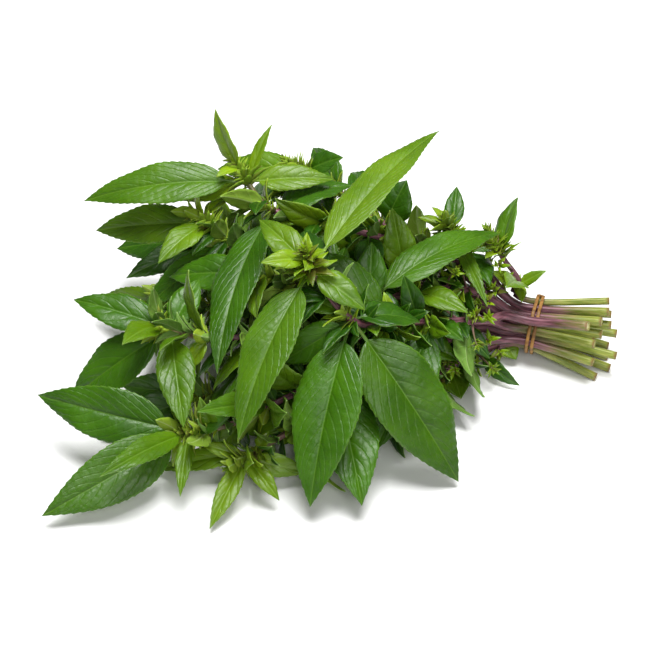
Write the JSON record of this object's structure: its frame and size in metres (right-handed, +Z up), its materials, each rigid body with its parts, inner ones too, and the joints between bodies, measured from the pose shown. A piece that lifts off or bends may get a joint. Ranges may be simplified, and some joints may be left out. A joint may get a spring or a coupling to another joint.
{
  "type": "basil bunch",
  "caption": "Fresh bunch of Thai basil lying on its side: leafy stems fanning out from a bundle held by a thin rubber band near the cut ends.",
  "frame": {"origin": "on the table under the middle of the bunch's bounding box", "axes": "+X along the bunch towards the cut ends of the stems, +Y away from the side that is looked at, +Z up from the table"},
  "size_m": [0.251, 0.1894, 0.106],
  "materials": {
    "foliage": null,
    "band_rubber": "satin tan rubber"
  },
  "bodies": {
    "root": {"leafy_stem_front_top": "foliage", "leafy_stem_back_top": "foliage", "leafy_stem_middle_top": "foliage", "leafy_stem_back_upper": "foliage", "leafy_stem_left_upper": "foliage", "leafy_stem_left_middle": "foliage", "leafy_stem_left_low": "foliage", "leafy_stem_front_low": "foliage", "leafy_stem_back_left": "foliage", "leafy_stem_back_middle": "foliage", "leafy_stem_back_low": "foliage", "leafy_stem_near_band_upper": "foliage", "leafy_stem_near_band_back": "foliage", "leafy_stem_left_inner": "foliage", "leafy_stem_front_short": "foliage", "leafy_stem_floor": "foliage", "rubber_band": "band_rubber"}
  },
  "joints": []
}
